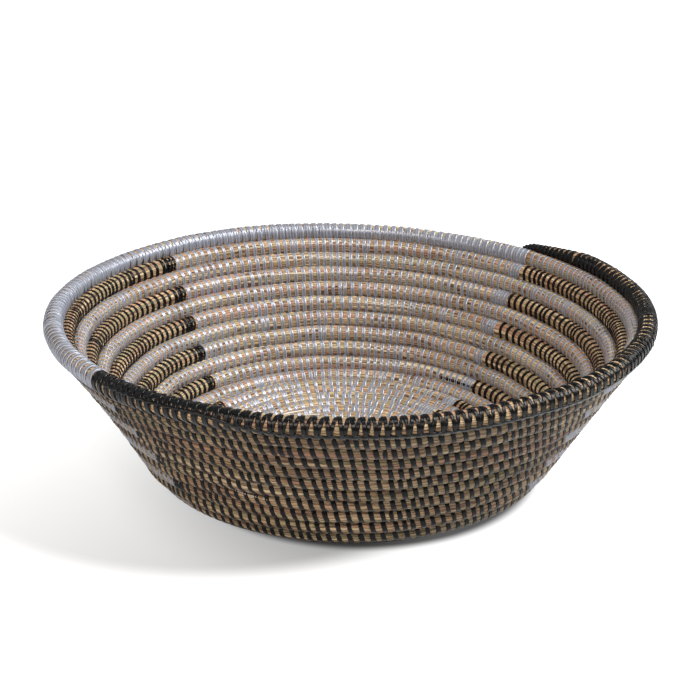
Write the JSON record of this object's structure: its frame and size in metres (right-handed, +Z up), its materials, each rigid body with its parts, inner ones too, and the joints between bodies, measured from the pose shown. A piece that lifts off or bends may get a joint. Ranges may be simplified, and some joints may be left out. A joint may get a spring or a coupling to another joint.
{
  "type": "coiled basket",
  "caption": "Round coiled table basket with a flat floor and sloping wall: a grass bundle wound in a spiral and bound by silver and black plastic strips.",
  "frame": {"origin": "middle of the underside, on the plane the basket stands on", "axes": "+Z up out of the bowl; -Y towards the side that is all black outside; the tail of the coil ends at the back right, 48 degrees from +X"},
  "size_m": [0.3291, 0.3261, 0.0987],
  "materials": {
    "grass": "dry grass stems, matt",
    "silver_strip": "silver grey plastic strip, satin",
    "black_strip": "black plastic strip, satin"
  },
  "bodies": {
    "root": {"black_strip_01": "black_strip", "black_strip_02": "black_strip", "black_strip_03": "black_strip", "black_strip_04": "black_strip", "black_strip_05": "black_strip", "black_strip_06": "black_strip", "black_strip_07": "black_strip", "black_strip_08": "black_strip", "black_strip_09": "black_strip", "black_strip_10": "black_strip", "black_strip_11": "black_strip", "black_strip_12": "black_strip", "black_strip_13": "black_strip", "black_strip_14": "black_strip", "black_strip_15": "black_strip", "black_strip_16": "black_strip", "black_strip_17": "black_strip", "grass_bundle": "grass", "rim_binding_black": "black_strip", "rim_binding_silver": "silver_strip", "silver_strip_01": "silver_strip", "silver_strip_02": "silver_strip", "silver_strip_03": "silver_strip", "silver_strip_04": "silver_strip", "silver_strip_05": "silver_strip", "silver_strip_06": "silver_strip", "silver_strip_07": "silver_strip", "silver_strip_08": "silver_strip", "silver_strip_09": "silver_strip", "silver_strip_10": "silver_strip", "silver_strip_11": "silver_strip", "silver_strip_12": "silver_strip", "silver_strip_13": "silver_strip", "silver_strip_14": "silver_strip", "silver_strip_15": "silver_strip", "silver_strip_16": "silver_strip", "silver_strip_17": "silver_strip", "silver_strip_centre": "silver_strip", "start_knot": "silver_strip"}
  },
  "joints": []
}
